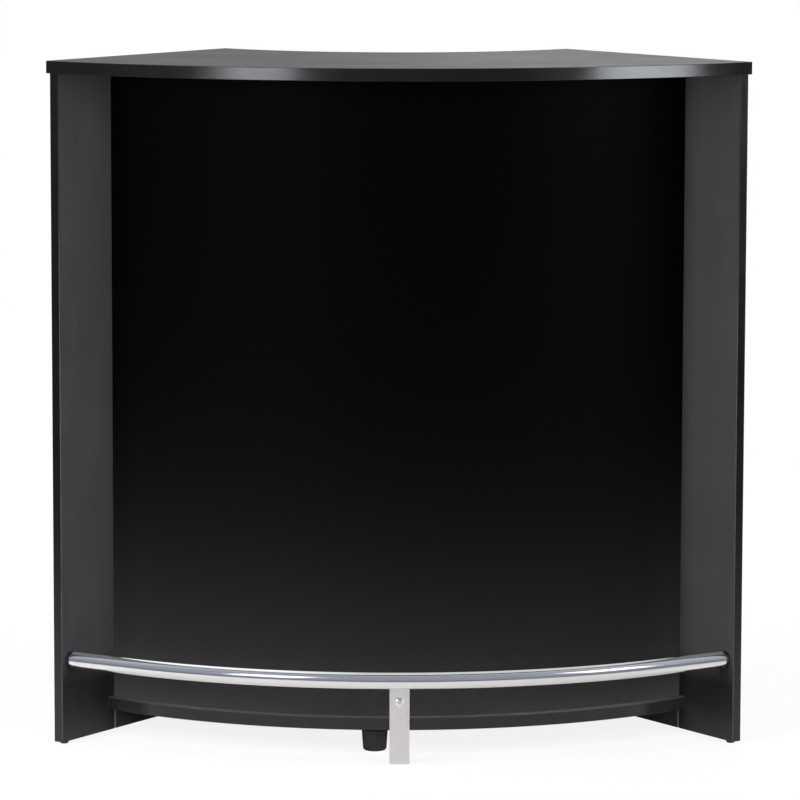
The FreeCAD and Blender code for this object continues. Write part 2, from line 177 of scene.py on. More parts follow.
def blendColours(tree, share, first, second):
    mix = tree.nodes.new("ShaderNodeMix")
    mix.data_type = "RGBA"
    feed(tree, mix.inputs["Factor"], share)
    for key, colour in (("A", first), ("B", second)):
        socket = next(s for s in mix.inputs if s.name == key and s.type == "RGBA")
        feed(tree, socket, colour)
    return next(s for s in mix.outputs if s.type == "RGBA")


def bump(tree, shader, height, depth):
    relief = tree.nodes.new("ShaderNodeBump")
    relief.inputs["Distance"].default_value = depth
    feed(tree, relief.inputs["Height"], height)
    tree.links.new(relief.outputs["Normal"], shader.inputs["Normal"])


def grey(value, warm=0.0):
    return (value * (1 + warm), value, value * (1 - warm), 1.0)


# Finishes: a noise is given by its scale and detail, a grain by its stretch and detail, and either may add a
# roughness. Most of a noise lies inside these bands, which are stretched to the range that a finish needs.

band = dict(narrow=(0.35, 0.65), wide=(0.3, 0.7), patchy=(0.3, 0.6), smeared=(0.35, 0.75))

# Boards: melamine with a fine grain and pebbled face. The slack keeps a test of place off the next face.

melamine = dict(dark=(0.0420, 0.0416, 0.0436, 1), light=(0.0480, 0.0476, 0.0498, 1), rough=(0.42, 0.54),
                specular=0.42, flatGrain=(8.0, 50.0, 50.0), uprightGrain=(50.0, 50.0, 8.0),
                grainDetail=(6.0, 0.68), grainShare=0.6, cloud=(9.0, 4.0), pebble=(1300.0, 2.0),
                pebbleDepth=0.00006, slack=0.00004)
chipboard = dict(dark=(0.26, 0.21, 0.155, 1), light=(0.52, 0.45, 0.36, 1), chip=(420.0, 5.0, 0.7), rough=0.9)
# painted highlight along the bottom shelf's ledge
ledgeHighlight = dict(colour=(0.092, 0.089, 0.088, 1), patch=(45.0, 5.0), least=0.55, ends=(0.345, 0.420),
              atEnds=0.1, deep=0.0005)
# painted shade below the rail on the side panels' inner faces
railShade = dict(colour=(0.0055, 0.0050, 0.0055, 1), patch=(16.0, 4.0), least=0.82, top=0.135, full=0.088,
             low=0.050, atFloor=0.64)


def grooveShare(tree, spot, radius):
    # 1 in the side panels' grooves, which are cut below the facing, and 0 elsewhere
    slack = melamine["slack"]
    middle = (plan["grooveFront"] + plan["grooveBack"]) / 2
    half = (plan["grooveFront"] - plan["grooveBack"]) / 2 + slack
    return product(tree,
                   maths(tree, "GREATER_THAN", spot["out"], plan["panelIn"] + slack),
                   maths(tree, "LESS_THAN", spot["out"], plan["panelOut"] - slack),
                   maths(tree, "COMPARE", radius, middle, half),
                   maths(tree, "LESS_THAN", spot["z"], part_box("left_side_panel")[1].z - slack))


def ledgeHighlightShare(tree, coords, spot, radius):
    # painted highlight: the bottom shelf's ledge is paler in front of the bowed panel, in patches, and less at
    # its ends
    slack = melamine["slack"]
    return product(tree,
                   maths(tree, "COMPARE", spot["z"], ledgeTop, ledgeHighlight["deep"]),
                   maths(tree, "LESS_THAN", spot["out"], plan["panelIn"] - slack),
                   maths(tree, "GREATER_THAN", radius, plan["grooveFront"] + slack),
                   remap(tree, noise(tree, coords, *ledgeHighlight["patch"]), *band["patchy"], ledgeHighlight["least"], 1),
                   remap(tree, spot["across"], *ledgeHighlight["ends"], 1, ledgeHighlight["atEnds"]))


def railShadeShare(tree, coords, spot, radius):
    # painted shade: darker on the side panels' inner faces below the rail and before the front panel, in
    # uneven patches
    return product(tree,
                   maths(tree, "COMPARE", spot["out"], plan["panelIn"], melamine["slack"] * 2),
                   maths(tree, "GREATER_THAN", radius, plan["grooveFront"]),
                   remap(tree, spot["z"], railShade["full"], railShade["top"], 1, 0),
                   remap(tree, spot["z"], 0, railShade["low"], railShade["atFloor"], 1),
                   remap(tree, noise(tree, coords, *railShade["patch"]), *band["wide"], railShade["least"], 1))


def melamineFinish(name, grain):
    finish, tree, shader = startFinish(name)
    coords = objectCoords(tree)
    spot = planCoords(tree, coords)
    radius = fromCentre(tree, spot)
    streaks = grained(tree, coords, grain, *melamine["grainDetail"])
    texture = twoParts(tree, noise(tree, coords, *melamine["cloud"]), streaks, melamine["grainShare"])
    tone = remap(tree, texture, *band["narrow"], 0, 1)
    face = blendColours(tree, tone, melamine["dark"], melamine["light"])
    # a painted highlight on the shelf's ledge, then painted shade below the rail
    face = blendColours(tree, ledgeHighlightShare(tree, coords, spot, radius), face, ledgeHighlight["colour"])
    face = blendColours(tree, railShadeShare(tree, coords, spot, radius), face, railShade["colour"])
    # raw board shows in the grooves
    raw = grooveShare(tree, spot, radius)
    chips = remap(tree, noise(tree, coords, *chipboard["chip"]), *band["narrow"], 0, 1)
    board = blendColours(tree, chips, chipboard["dark"], chipboard["light"])
    feed(tree, shader.inputs["Base Color"], blendColours(tree, raw, face, board))
    sheen = remap(tree, texture, *band["narrow"], *melamine["rough"])
    coarse = product(tree, raw, chipboard["rough"])
    feed(tree, shader.inputs["Roughness"], maths(tree, "MAXIMUM", sheen, coarse))
    shader.inputs["Specular IOR Level"].default_value = melamine["specular"]
    bump(tree, shader, noise(tree, coords, *melamine["pebble"]), melamine["pebbleDepth"])
    return finish


# Edging: glossier than the boards. The wear and painted edge highlight die away between its two top heights.

edging = dict(dark=0.004, light=0.006, rough=(0.17, 0.23), specular=0.5, cloud=(14.0, 4.0),
              ripple=(700.0, 2.0), rippleDepth=0.00003)
wearAndEdgeHighlight = dict(colour=(0.053, 0.050, 0.051, 1), wide=0.0012, top=(0.60, 0.86), rough=0.55, patch=(38.0, 4.0),
            least=0.55, paintedLift=(0.018, 0.017, 0.017, 1), liftEnds=(0.35, 0.41))


def edgingFinish(name, wornAndHighlit):
    finish, tree, shader = startFinish(name)
    coords = objectCoords(tree)
    cloud = noise(tree, coords, *edging["cloud"])
    colour = blendColours(tree, cloud, grey(edging["dark"]), grey(edging["light"]))
    gloss = remap(tree, cloud, *band["wide"], *edging["rough"])
    if wornAndHighlit:
        spot = planCoords(tree, coords)
        onShelf = maths(tree, "LESS_THAN", spot["out"], plan["panelIn"] - wearAndEdgeHighlight["wide"])
        # painted light: the shelf's edging is paler towards its ends
        paintedEndLift = remap(tree, spot["across"], *wearAndEdgeHighlight["liftEnds"], 0, 1)
        colour = blendColours(tree, product(tree, onShelf, paintedEndLift), colour, wearAndEdgeHighlight["paintedLift"])
        # corners rubbed paler by wear, with a painted highlight along their rounding: the side panels' inner
        # ones and the shelf's upper one
        inner = maths(tree, "COMPARE", spot["out"], plan["panelIn"], wearAndEdgeHighlight["wide"])
        upper = maths(tree, "COMPARE", spot["z"], ledgeTop, wearAndEdgeHighlight["wide"] / 2)
        rubbedAndHighlit = maths(tree, "ADD", inner, product(tree, upper, onShelf), clamp=True)
        patches = remap(tree, noise(tree, coords, *wearAndEdgeHighlight["patch"]), *band["patchy"], wearAndEdgeHighlight["least"], 1)
        reached = remap(tree, spot["z"], *wearAndEdgeHighlight["top"], 1, 0)
        colour = blendColours(tree, product(tree, rubbedAndHighlit, patches, reached), colour, wearAndEdgeHighlight["colour"])
        gloss = maths(tree, "MAXIMUM", gloss, product(tree, rubbedAndHighlit, wearAndEdgeHighlight["rough"]))
    feed(tree, shader.inputs["Base Color"], colour)
    feed(tree, shader.inputs["Roughness"], gloss)
    shader.inputs["Specular IOR Level"].default_value = edging["specular"]
    bump(tree, shader, noise(tree, coords, *edging["ripple"]), edging["rippleDepth"])
    return finish


# Front panel: a film, deep black above, with a painted reflection of the lit floor that grades to dark grey at
# the foot.
# A fade is its reach and power: the grey's share is exp(-(height / reach) to the power).

film = dict(top=(0.0012, 0.0008, 0.0010, 1), foot=(0.0204, 0.0202, 0.0210, 1), paintedFloorFade=(0.188, 1.38),
            paintedLeftLight=1.22, leftEnd=-0.38, paintedLift=0.66, bounceFade=(0.068, 4.0), paintedEndLight=1.1, paintedEndReach=0.026,
            palest=4.0, speck=(60.0, 5.0, 0.7), speckGain=(0.94, 1.06), smear=(3.0, 4.0), rough=(0.40, 0.48),
            specular=0.01, grain=(900.0, 2.0), grainDepth=0.000012, deep=0.0012)
hardboard = dict(dark=(0.016, 0.014, 0.012, 1), light=(0.030, 0.026, 0.023, 1), fibre=(260.0, 5.0, 0.7),
                 rough=0.8)


def dyingAway(tree, height, reach, power):
    fall = maths(tree, "POWER", maths(tree, "DIVIDE", height, reach), power)
    return maths(tree, "EXPONENT", product(tree, fall, -1.0))


def paintedLightAndSpecks(tree, coords, spot):
    height = maths(tree, "MAXIMUM", maths(tree, "SUBTRACT", spot["z"], ledgeTop), 0.0)
    # painted light: a little paler to the left
    litToLeft = remap(tree, spot["x"], film["leftEnd"], 0, film["paintedLeftLight"], 1)
    # painted floor bounce: paler below the rail
    paintedBounce = product(tree, dyingAway(tree, height, *film["bounceFade"]), film["paintedLift"])
    # painted light: paler in the corners beside the side panels
    beside = maths(tree, "DIVIDE", maths(tree, "SUBTRACT", spot["out"], plan["panelIn"]), film["paintedEndReach"])
    corner = maths(tree, "MULTIPLY_ADD", maths(tree, "EXPONENT", beside), film["paintedEndLight"], 1.0)
    specks = remap(tree, noise(tree, coords, *film["speck"]), *band["wide"], *film["speckGain"])
    return product(tree, dyingAway(tree, height, *film["paintedFloorFade"]), litToLeft, maths(tree, "ADD", paintedBounce, 1.0),
                   corner, specks)


def filmFinish():
    finish, tree, shader = startFinish("blackFrontFilm")
    coords = objectCoords(tree)
    spot = planCoords(tree, coords)
    # the panel's tone: a painted reflection of the lit floor, with painted light to the left and in the
    # corners, and random specks
    share = maths(tree, "MULTIPLY", paintedLightAndSpecks(tree, coords, spot), 1 / film["palest"], clamp=True)
    paintedGlowTone = blendColours(tree, share, film["top"], tuple(film["palest"] * tone for tone in film["foot"]))
    # the film is on the outer face only, and the hardboard's own back is dull
    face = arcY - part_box("front_panel")[0].y
    filmed = maths(tree, "GREATER_THAN", fromCentre(tree, spot), face - film["deep"])
    bare = maths(tree, "SUBTRACT", 1.0, filmed)
    fibre = noise(tree, coords, *hardboard["fibre"])
    dull = blendColours(tree, fibre, hardboard["dark"], hardboard["light"])
    feed(tree, shader.inputs["Base Color"], blendColours(tree, filmed, dull, paintedGlowTone))
    smear = remap(tree, noise(tree, coords, *film["smear"]), *band["smeared"], *film["rough"])
    feed(tree, shader.inputs["Roughness"],
         maths(tree, "ADD", product(tree, filmed, smear), product(tree, bare, hardboard["rough"])))
    shader.inputs["Specular IOR Level"].default_value = film["specular"]
    bump(tree, shader, noise(tree, coords, *film["grain"]), film["grainDepth"])
    return finish


tube = dict(colour=(0.83, 0.83, 0.83, 1), rough=(0.10, 0.16), line=((14.0, 14.0, 900.0), 4.0),
            lineDepth=0.000004)


def polishedFinish():
    finish, tree, shader = startFinish("polishedTube")
    lines = grained(tree, objectCoords(tree), *tube["line"])
    shader.inputs["Base Color"].default_value = tube["colour"]
    shader.inputs["Metallic"].default_value = 1.0
    feed(tree, shader.inputs["Roughness"], remap(tree, lines, *band["wide"], *tube["rough"]))
    bump(tree, shader, lines, tube["lineDepth"])
    return finish


satin = dict(dark=(0.75, 0.725, 0.715, 1), light=(0.81, 0.785, 0.775, 1), rough=(0.27, 0.31),
             grain=((900.0, 900.0, 12.0), 5.0, 0.65), grainShare=0.6, grainDepth=0.000002, cloud=(70.0, 4.0))


def satinFinish():
    finish, tree, shader = startFinish("satinAluminium")
    coords = objectCoords(tree)
    grain = grained(tree, coords, *satin["grain"])
    both = twoParts(tree, noise(tree, coords, *satin["cloud"]), grain, satin["grainShare"])
    feed(tree, shader.inputs["Base Color"],
         blendColours(tree, remap(tree, both, *band["narrow"], 0, 1), satin["dark"], satin["light"]))
    shader.inputs["Metallic"].default_value = 1.0
    feed(tree, shader.inputs["Roughness"], remap(tree, both, *band["narrow"], *satin["rough"]))
    bump(tree, shader, grain, satin["grainDepth"])
    return finish


zinc = dict(cool=(0.84, 0.85, 0.88, 1), warm=(0.93, 0.92, 0.90, 1), rough=(0.22, 0.34), spangle=(260.0, 4.0),
            dimple=(1800.0, 2.0), dimpleDepth=0.000008)


def zincFinish():
    finish, tree, shader = startFinish("zincSteel")
    coords = objectCoords(tree)
    spangle = noise(tree, coords, *zinc["spangle"])
    feed(tree, shader.inputs["Base Color"],
         blendColours(tree, remap(tree, spangle, *band["narrow"], 0, 1), zinc["cool"], zinc["warm"]))
    shader.inputs["Metallic"].default_value = 1.0
    feed(tree, shader.inputs["Roughness"], remap(tree, spangle, *band["wide"], *zinc["rough"]))
    bump(tree, shader, noise(tree, coords, *zinc["dimple"]), zinc["dimpleDepth"])
    return finish


plastic = dict(dark=0.005, light=0.008, rough=(0.40, 0.52), cloud=(90.0, 4.0), spark=(1700.0, 2.0),
               sparkDepth=0.00004)


def plasticFinish():
    finish, tree, shader = startFinish("blackPlastic")
    coords = objectCoords(tree)
    cloud = noise(tree, coords, *plastic["cloud"])
    colour = blendColours(tree, cloud, grey(plastic["dark"]), grey(plastic["light"]))
    feed(tree, shader.inputs["Base Color"], colour)
    feed(tree, shader.inputs["Roughness"], remap(tree, cloud, *band["wide"], *plastic["rough"]))
    bump(tree, shader, noise(tree, coords, *plastic["spark"]), plastic["sparkDepth"])
    return finish


beech = dict(dark=(0.48, 0.30, 0.16, 1), light=(0.72, 0.52, 0.33, 1), rough=0.62, grain=(300.0, 6.0, 0.7),
             grainDepth=0.00005)


def beechFinish():
    finish, tree, shader = startFinish("beech")
    grain = noise(tree, objectCoords(tree), *beech["grain"])
    feed(tree, shader.inputs["Base Color"],
         blendColours(tree, remap(tree, grain, *band["narrow"], 0, 1), beech["dark"], beech["light"]))
    shader.inputs["Roughness"].default_value = beech["rough"]
    bump(tree, shader, grain, beech["grainDepth"])
    return finish


finishes = {
    "black_board": melamineFinish("blackMelamine", melamine["flatGrain"]),
    "black_edging": edgingFinish("blackEdging", wornAndHighlit=False),
    "black_front": filmFinish(),
    "polished_tube": polishedFinish(),
    "satin_aluminium": satinFinish(),
    "zinc_steel": zincFinish(),
    "black_plastic": plasticFinish(),
    "beech": beechFinish(),
}
uprights = ("left_side_panel", "right_side_panel")
touched = ("bottom_shelf_front_edging", "left_front_edging", "right_front_edging")
special = dict.fromkeys(uprights, melamineFinish("uprightMelamine", melamine["uprightGrain"]))
special.update(dict.fromkeys(touched, edgingFinish("wornHighlitEdging", wornAndHighlit=True)))
for part in frame["record"]["subparts"]:
    node = frame["nodes"][part["node"]]
    for holder in node.material_slots:
        holder.material = special.get(part["node"], finishes[part["material_slot"]])


# Mesh helpers for the new pieces

def gridFaces(rows, cols, wrapRows=False, wrapCols=True):
    # each cell joins a grid point to its neighbours in the next row and the next column
    row = np.arange(rows if wrapRows else rows - 1)[:, None]
    col = np.arange(cols if wrapCols else cols - 1)[None, :]
    nextRow, nextCol = (row + 1) % rows, (col + 1) % cols
    corners = (row * cols + col, row * cols + nextCol, nextRow * cols + nextCol, nextRow * cols + col)
    return np.stack(corners, -1).reshape(-1, 4)


def newMesh(name, points, faces):
    mesh = bpy.data.meshes.new(name)
    mesh.from_pydata(points.reshape(-1, 3).tolist(), [], faces.tolist())
    return mesh


def addObject(name, data):
    item = bpy.data.objects.new(name, data)
    scene.collection.objects.link(item)
    return item


def addPiece(name, points, faces, slot, body, stands, sharp=35, weld=1e-7):
    # puts the points and faces in a mesh, merges its poles, and rides it on a body
    mesh = newMesh(name, points, faces)
    shell = bmesh.new()
    shell.from_mesh(mesh)
    bmesh.ops.remove_doubles(shell, verts=shell.verts, dist=weld)
    bmesh.ops.recalc_face_normals(shell, faces=shell.faces)
    shell.to_mesh(mesh)
    shell.free()
    mesh.shade_smooth()
    mesh.set_sharp_from_angle(angle=math.radians(sharp))
    mesh.materials.append(finishes[slot])
    piece = addObject(name, mesh)
    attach(piece, body)
    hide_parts(stands)
    print("piece", name, len(mesh.polygons), "faces")


def lathe(profile, turns):
    # surface of revolution: x = r cos a, y = r sin a, z = h, for each r and h of the profile
    angle = np.linspace(0, 2 * np.pi, turns, endpoint=False)
    r, h = np.array(profile).T[:, :, None]
    return np.stack([r * np.cos(angle), r * np.sin(angle), h + 0 * angle], -1)


def arcRun(centre, radius, start, end, count):
    # points on a circle in the profile plane, from one angle in degrees to another
    angle = np.radians(np.linspace(start, end, count))
    return np.stack([centre[0] + radius * np.cos(angle), centre[1] + radius * np.sin(angle)], 1).tolist()


def setAlong(points, origin, axis):
    # turns the z axis of the points to an axis and moves them to an origin
    w = np.array(axis) / np.linalg.norm(axis)
    helper = np.array([1.0, 0, 0]) if abs(w[2]) > 0.9 else np.array([0, 0, 1.0])
    u = np.cross(helper, w)
    u = u / np.linalg.norm(u)
    return np.array(origin) + points @ np.stack([u, np.cross(w, u), w])


def copied(points, faces, places):
    # the same surface set at each place, given as an origin and an axis
    count = points.reshape(-1, 3).shape[0]
    stack = np.stack([setAlong(points.reshape(-1, 3), *place) for place in places])
    joined = faces[None] + count * np.arange(len(places))[:, None, None]
    return stack, joined.reshape(-1, faces.shape[1])


# Foot rail: a circle of radius r carried along a bend of radius ring and on into straight tails.
# x = (ring + r cos a) sin t + tail cos t, y = arcY - (ring + r cos a) cos t + tail sin t,
# z = height + r sin a, where the run past the bend is the tail and t stays at the bend's end.

rail = dict(wall=0.0015, straight=0.120, endOut=0.050, around=72, along=180)


def railPlan():
    low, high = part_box("foot_rail")
    r = (high.z - low.z) / 2
    ring = arcY - low.y - r
    reach = math.hypot(ring, rail["straight"])
    bend = plan["sideAngle"] + math.asin(plan["panelIn"] / reach) - math.atan2(rail["straight"], ring)
    meets = math.sqrt(reach ** 2 - plan["panelIn"] ** 2)  # where the rail meets a side panel, along it
    return dict(r=r, ring=ring, bend=bend, meets=meets, height=(low.z + high.z) / 2)


def makeRail():
    way = railPlan()
    ring, bend = way["ring"], way["bend"]
    a = np.linspace(0, 2 * np.pi, rail["around"], endpoint=False)[None, :]
    share = np.linspace(-1, 1, rail["along"])[:, None]
    lean = bend - plan["sideAngle"]
    skins = []
    for r, run in ((way["r"], share), (way["r"] - rail["wall"], share[::-1])):
        reach = ring + r * np.cos(a)
        # each line along the tube ends on a plane beside the panel
        length = ring * bend + (rail["endOut"] - reach * math.sin(lean)) / math.cos(lean)
        s = run * length
        onBend = np.clip(s, -ring * bend, ring * bend)
        t, tail = onBend / ring, s - onBend
        x = reach * np.sin(t) + tail * np.cos(t)
        y = arcY - reach * np.cos(t) + tail * np.sin(t)
        skins.append(np.stack([x, y, way["height"] + r * np.sin(a) + 0 * x], -1))
    points = np.concatenate(skins)
    addPiece("footRail", points, gridFaces(*points.shape[:2], wrapRows=True),
             "polished_tube", "counter", "foot_rail")


# Support bar: a rounded rectangle carried up the bar, drawn in by quarter circles at its ends

bar = dict(edge=0.0007, corner=0.002, cornerPoints=7, endRows=16, midRows=5)


def makeBar():
    low, high = (np.array(corner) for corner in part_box("rail_support_bar"))
    edge, corner = bar["edge"], bar["corner"]
    tall = high[2] - low[2]
    rise = corner * (1 - np.cos(np.linspace(0, np.pi / 2, bar["endRows"])))
    z = np.concatenate([rise, np.linspace(corner, tall - corner, bar["midRows"])[1:-1], tall - rise[::-1]])
    fromEnd = np.minimum(z, tall - z)

    def drawIn(radius):
        return radius - np.sqrt(np.maximum(radius ** 2 - np.maximum(radius - fromEnd, 0) ** 2, 0))

    halfWide = (high[0] - low[0]) / 2 - drawIn(corner)
    halfThick = (high[1] - low[1]) / 2 - drawIn(edge)
    turn = np.linspace(0, np.pi / 2, bar["cornerPoints"])
    a = (np.arange(4)[:, None] * np.pi / 2 + turn).ravel()
    signX = np.repeat([1, -1, -1, 1], bar["cornerPoints"])
    signY = np.repeat([1, 1, -1, -1], bar["cornerPoints"])
    x = (low[0] + high[0]) / 2 + signX * (halfWide - edge)[:, None] + edge * np.cos(a)
    y = (low[1] + high[1]) / 2 + signY * (halfThick - edge)[:, None] + edge * np.sin(a)
    points = np.stack([x, y, low[2] + z[:, None] + 0 * x], -1)
    middle = points.mean(1, keepdims=True)[[0, -1]] + 0 * points[[0, -1]]
    points = np.concatenate([middle[:1], points, middle[1:]])  # each end closes on its middle
    addPiece("supportBar", points, gridFaces(*points.shape[:2]),
             "satin_aluminium", "counter", "rail_support_bar")


# Cross-recess screws: a lathe form with four wings pressed into its head. A wing narrows evenly from its root,
# and over its last stretch the depth eases out as a power of the way left to its end.

recess = dict(root=1.2, taper=0.5, stretch=0.45, power=0.7)


def crossDepth(r, a, cross):
    # depth at radius r and angle a: full inside a wing's width, easing out towards its end
    fold = (a + np.pi / 4) % (np.pi / 2) - np.pi / 4
    along, aside = r * np.cos(fold), np.abs(r * np.sin(fold))
    width = cross["wing"] * (recess["root"] - recess["taper"] * along / cross["reach"])
    wall = np.clip((width - aside) / cross["wall"] + 0.5, 0, 1)
    ease = np.clip((cross["reach"] - along) / (recess["stretch"] * cross["reach"]), 0, 1)
    return cross["depth"] * wall * ease ** recess["power"]


def crossedLathe(head, body, cross, turns):
    # the head's rows of the profile are pressed down by the cross, and the body's stay
    points = lathe(head + body, turns)
    x, y = points[..., 0], points[..., 1]
    pressed = crossDepth(np.hypot(x, y), np.arctan2(y, x) + cross["turn"], cross)
    inHead = np.arange(len(points))[:, None] < len(head)
    points[..., 2] -= np.where(inHead, pressed, 0)
    return points, gridFaces(*points.shape[:2])


bracketScrew = dict(dome=0.0010, rim=0.0003, shank=0.003, tip=0.0008, tipShare=0.7, rows=60, turns=128,
                    cross=dict(reach=0.0029, wing=0.0009, wall=0.0004, depth=0.0028, turn=0.35))


def makeBracketScrew():
    low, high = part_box("bracket_screw")
    radius = (high.x - low.x) / 2
    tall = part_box("rail_support_bar")[0].y - low.y
    end = high.y - low.y
    rim, shank = bracketScrew["rim"], bracketScrew["shank"]
    r = np.linspace(0, 1, bracketScrew["rows"])
    dome = np.stack([r * radius, -bracketScrew["dome"] * r ** 4], 1).tolist()  # dips as the fourth power of r
    under = [[radius, -tall + rim], [radius - rim, -tall]]
    tip = [[shank, -end + bracketScrew["tip"]], [shank * bracketScrew["tipShare"], -end], [0, -end]]
    body = under + [[shank, -tall]] + tip
    points, faces = crossedLathe(dome, body, bracketScrew["cross"], bracketScrew["turns"])
    addPiece("bracketScrew", setAlong(points, (0, low.y, (low.z + high.z) / 2), (0, -1, 0)), faces,
             "zinc_steel", "counter", "bracket_screw")


endScrew = dict(head=0.00427, neck=0.00225, length=0.034, tip=0.003, sunk=0.00006, rows=50, turns=96,
                cross=dict(reach=0.0023, wing=0.0005, wall=0.0002, depth=0.0015, turn=0.5))


def makeEndScrews():
    way = railPlan()
    head, neck, length = endScrew["head"], endScrew["neck"], endScrew["length"]
    r = np.linspace(0, 1, endScrew["rows"])
    flat = np.stack([r * head, 0 * r], 1).tolist()
    shank = [[neck, -(head - neck)], [neck, -length + endScrew["tip"]], [0, -length]]
    points, faces = crossedLathe(flat, shank, endScrew["cross"], endScrew["turns"])
    out = plan["panelOut"] - endScrew["sunk"]
    places = [(sidePoint(side, way["meets"], out, way["height"]), -inward(side)) for side in sides]
    addPiece("railEndScrews", *copied(points, faces, places), "zinc_steel", "counter", "rail_end_screws")


# Levelling foot: a tapered lathe form with a rounded base, a rounded rim and a hollow underside

foot = dict(base=0.018, baseRound=0.004, baseRows=14, rim=0.0012, rimRows=8, hollow=0.0008,
            hollowRadius=0.010, hollowSlope=0.001, turns=96)


def footCentre():
    low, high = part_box("levelling_foot")
    return (low.x + high.x) / 2, (low.y + high.y) / 2


def makeFoot():
    low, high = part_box("levelling_foot")
    top = (high.x - low.x) / 2
    tall = high.z - low.z
    rim, base, roundOff = foot["rim"], foot["base"], foot["baseRound"]
    hollow, inner = foot["hollow"], foot["hollowRadius"]
    lean = math.degrees(math.atan2(top - base, tall))
    underside = [[0, hollow], [inner, hollow], [inner + foot["hollowSlope"], 0]]
    baseArc = arcRun((base - roundOff, roundOff), roundOff, -90, -lean, foot["baseRows"])
    rimArc = arcRun((top - rim, tall - rim), rim, -lean, 90, foot["rimRows"])
    points = lathe(underside + baseArc + rimArc + [[0, tall]], foot["turns"])
    x, y = footCentre()
    addPiece("levellingFoot", points + np.array([x, y, low.z]), gridFaces(*points.shape[:2]),
             "black_plastic", "foot", "levelling_foot")


# Threaded stem: r = crest - depth * (distance of h / pitch - a / 2 pi from a whole number, doubled)

stem = dict(pitch=0.00125, depth=0.0007, perTurn=8, turns=40, sharp=60)


def makeStem():
    low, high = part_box("foot_stem")
    crest = (high.x - low.x) / 2
    rows = int((high.z - low.z) / stem["pitch"] * stem["perTurn"])
    h = np.linspace(0, high.z - low.z, rows)[:, None]
    a = np.linspace(0, 2 * np.pi, stem["turns"], endpoint=False)[None, :]
    phase = h / stem["pitch"] - a / (2 * np.pi)
    r = crest - stem["depth"] * 2 * np.abs(phase - np.round(phase))
    r[[0, -1]] = 0
    x, y = footCentre()
    points = np.stack([x + r * np.cos(a), y + r * np.sin(a), low.z + h + 0 * a], -1)
    addPiece("footStem", points, gridFaces(rows, stem["turns"]), "zinc_steel", "foot", "foot_stem",
             sharp=stem["sharp"])


# Floor glides: a domed pad with a peg, four times, near the side panels' ends.
# The dome is a quarter ellipse from the sole's rim to the pad's.

glide = dict(radius=0.007, sole=0.0042, pad=0.004, domeShare=0.9, domeRows=12, peg=0.0025, pegTip=0.001,
             turns=48)


def makeGlides():
    low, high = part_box("floor_glides")
    radius, pad, sole, peg = glide["radius"], glide["pad"], glide["sole"], glide["peg"]
    tall = high.z - low.z
    a = np.linspace(0, np.pi / 2, glide["domeRows"])
    rise = pad * glide["domeShare"] * (1 - np.cos(a))
    dome = np.stack([sole + (radius - sole) * np.sin(a), rise], 1).tolist()
    profile = [[0, 0]] + dome + [[radius, pad], [peg, pad], [peg, tall - glide["pegTip"]], [0, tall]]
    points = lathe(profile, glide["turns"])
    middle = (plan["panelIn"] + plan["panelOut"]) / 2
    alongs = [sideAlong(y, middle) for y in (low.y + radius, high.y - radius)]
    places = [(sidePoint(side, along, middle, low.z), (0, 0, 1)) for side in sides for along in alongs]
    addPiece("floorGlides", *copied(points, gridFaces(*points.shape[:2]), places),
             "black_plastic", "counter", "floor_glides")


# Cam caps: shallow domed discs with a fine ring, on the side panels' inner faces.
# The face sinks by the crown times r squared, and by a bell curve along the ring.

cap = dict(radius=0.0085, thick=0.0012, wallShare=0.5, faceShare=0.96, crown=0.00025, ring=0.0062,
           ringWide=0.0003, ringDepth=0.00018, rows=40, turns=56)


def makeCaps():
    low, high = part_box("cam_caps")
    radius, thick = cap["radius"], cap["thick"]
    r = np.linspace(0, 1, cap["rows"])
    ring = cap["ringDepth"] * np.exp(-((r * radius - cap["ring"]) / cap["ringWide"]) ** 2)
    face = np.stack([r * radius * cap["faceShare"], thick - cap["crown"] * r ** 2 - ring], 1).tolist()
    points = lathe([[0, 0], [radius, 0], [radius, thick * cap["wallShare"]]] + face[::-1], cap["turns"])
    height = (low.z + high.z) / 2
    reach = radius * cosSide
    out = plan["panelIn"]
    alongs = [sideAlong(y, out) for y in (low.y + reach + thick * sinSide, high.y - reach)]
    places = [(sidePoint(side, along, out, height), inward(side)) for side in sides for along in alongs]
    addPiece("camCaps", *copied(points, gridFaces(*points.shape[:2]), places),
             "black_plastic", "counter", "cam_caps")


makeRail()
makeBar()
makeBracketScrew()
makeEndScrews()
makeFoot()
makeStem()
makeGlides()
makeCaps()
print("pieces made")

# Stage: a pale floor that glows white to the camera, and in a mirror is brightest round the counter

stage = dict(radius=40.0, rings=60, sectors=96, albedo=0.80, bounce=0.08, shadowShare=0.14,
             shadowReach=(0.6, 2.5), shine=0.66, shineWarm=0.015, shineReach=1.55, shinePower=2.6)


